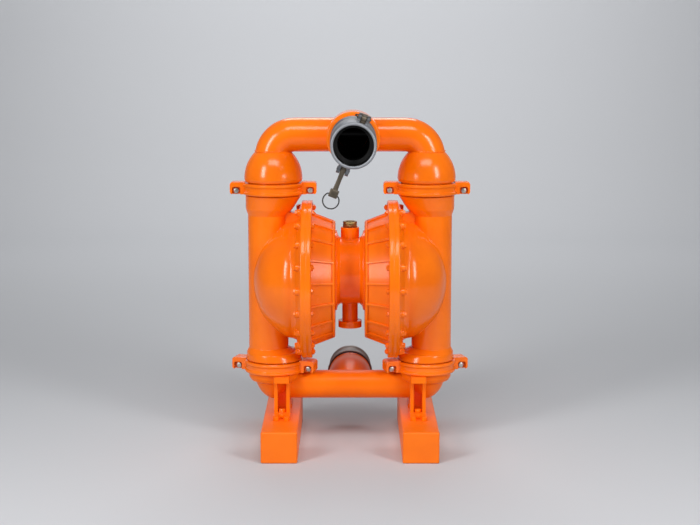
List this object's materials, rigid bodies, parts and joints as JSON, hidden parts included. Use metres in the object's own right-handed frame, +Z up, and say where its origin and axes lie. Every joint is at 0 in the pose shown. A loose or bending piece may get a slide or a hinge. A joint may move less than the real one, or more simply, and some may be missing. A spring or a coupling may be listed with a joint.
{
  "type": "air operated diaphragm pump",
  "caption": "Air operated double diaphragm pump with clamped inlet and discharge manifolds, a centre block with air valve, a cam-arm discharge coupler and channel-foot beams.",
  "frame": {"origin": "middle of the rectangle of the four anchor holes, on the floor under the foot beams", "axes": "+Z up; X along the drive shaft, from one diaphragm to the other; the discharge port faces -Y and the suction port faces +Y"},
  "size_m": [0.6124, 0.58, 0.872],
  "materials": {
    "orange_casting": "gloss enamel over sand casting",
    "orange_clamp": "gloss enamel",
    "orange_beam": "gloss enamel on welded tube",
    "painted_fastener": "gloss enamel over steel bolts",
    "zinc_fastener": "zinc plated",
    "brass": "machined, dulled",
    "coupler_aluminium": "sand cast with machined rim",
    "adapter_grey": "sand cast",
    "arm_bronze": "cast bronze, darkened",
    "steel_wire": "drawn wire",
    "rubber": "moulded elastomer",
    "inner_aluminium": "machined",
    "steel_shaft": "ground"
  },
  "bodies": {
    "pump": {"discharge_manifold": "orange_casting", "inlet_manifold": "orange_casting", "centre_block": "orange_casting", "air_inlet_bushing": "brass", "air_valve_body": "orange_casting", "air_valve_bolts": "zinc_fastener", "air_valve_cap_lower": "orange_casting", "air_valve_cap_upper": "orange_casting", "air_valve_gasket": "rubber", "suction_adapter": "adapter_grey", "discharge_coupler": "coupler_aluminium", "coupler_gasket": "rubber", "arm_pin_lower": "steel_wire", "arm_pin_upper": "steel_wire", "foot_bolts": "zinc_fastener", "clamp_bolts_lower": "zinc_fastener", "clamp_bolts_upper": "zinc_fastener", "liquid_chamber_left": "orange_casting", "air_chamber_left": "orange_casting", "ring_bolts_left": "painted_fastener", "foot_beam_left": "orange_beam", "diaphragm_left": "rubber", "shaft_seal_left": "rubber", "valve_seat_lower_left": "rubber", "seat_ring_lower_left": "inner_aluminium", "clamp_lower_front_left": "orange_clamp", "clamp_lower_rear_left": "orange_clamp", "valve_seat_upper_left": "rubber", "seat_ring_upper_left": "inner_aluminium", "clamp_upper_front_left": "orange_clamp", "clamp_upper_rear_left": "orange_clamp", "liquid_chamber_right": "orange_casting", "air_chamber_right": "orange_casting", "ring_bolts_right": "painted_fastener", "foot_beam_right": "orange_beam", "diaphragm_right": "rubber", "shaft_seal_right": "rubber", "valve_seat_lower_right": "rubber", "seat_ring_lower_right": "inner_aluminium", "clamp_lower_front_right": "orange_clamp", "clamp_lower_rear_right": "orange_clamp", "valve_seat_upper_right": "rubber", "seat_ring_upper_right": "inner_aluminium", "clamp_upper_front_right": "orange_clamp", "clamp_upper_rear_right": "orange_clamp"},
    "drive": {"main_shaft": "steel_shaft", "outer_piston_left": "inner_aluminium", "outer_piston_right": "inner_aluminium", "inner_piston_left": "inner_aluminium", "inner_piston_right": "inner_aluminium"},
    "ball_lower_left": {"valve_ball_lower_left": "rubber"},
    "ball_lower_right": {"valve_ball_lower_right": "rubber"},
    "ball_upper_left": {"valve_ball_upper_left": "rubber"},
    "ball_upper_right": {"valve_ball_upper_right": "rubber"},
    "spool": {"valve_spool": "steel_shaft"},
    "arm_lower": {"cam_arm_lower": "arm_bronze"},
    "ring_lower": {"finger_ring_lower": "steel_wire"},
    "arm_upper": {"cam_arm_upper": "arm_bronze"},
    "ring_upper": {"finger_ring_upper": "steel_wire"}
  },
  "joints": [
    {"name": "shaft_stroke", "type": "slide", "parent": "pump", "child": "drive", "axis": [1, 0, 0], "range_m": [-0.022, 0.022], "deforming": ["diaphragm_left", "diaphragm_right"]},
    {"name": "ball_lift_lower_left", "type": "slide", "parent": "pump", "child": "ball_lower_left", "axis": [0, 0, 1], "range_m": [0, 0.016]},
    {"name": "ball_lift_lower_right", "type": "slide", "parent": "pump", "child": "ball_lower_right", "axis": [0, 0, 1], "range_m": [0, 0.016]},
    {"name": "ball_lift_upper_left", "type": "slide", "parent": "pump", "child": "ball_upper_left", "axis": [0, 0, 1], "range_m": [0, 0.016]},
    {"name": "ball_lift_upper_right", "type": "slide", "parent": "pump", "child": "ball_upper_right", "axis": [0, 0, 1], "range_m": [0, 0.016]},
    {"name": "spool_shift", "type": "slide", "parent": "pump", "child": "spool", "axis": [0, 0, 1], "range_m": [0, 0.018]},
    {"name": "cam_arm_upper_swing", "type": "hinge", "parent": "pump", "child": "arm_upper", "pos_m": [0.03179, -0.328, 0.85638], "axis": [0.9272, 0, -0.3746], "range_deg": [0, 100]},
    {"name": "cam_arm_lower_swing", "type": "hinge", "parent": "pump", "child": "arm_lower", "pos_m": [-0.01579, -0.328, 0.73862], "axis": [-0.9272, 0, 0.3746], "range_deg": [-90, 10]},
    {"name": "finger_ring_upper_swing", "type": "hinge", "parent": "arm_upper", "child": "ring_upper", "pos_m": [0.03272, -0.266, 0.85869], "axis": [0.9272, 0, -0.3746], "range_deg": [0, 70]},
    {"name": "finger_ring_lower_swing", "type": "hinge", "parent": "arm_lower", "child": "ring_lower", "pos_m": [-0.03901, -0.3305, 0.68114], "axis": [-0.9272, 0, 0.3746], "range_deg": [-12, 70]}
  ]
}
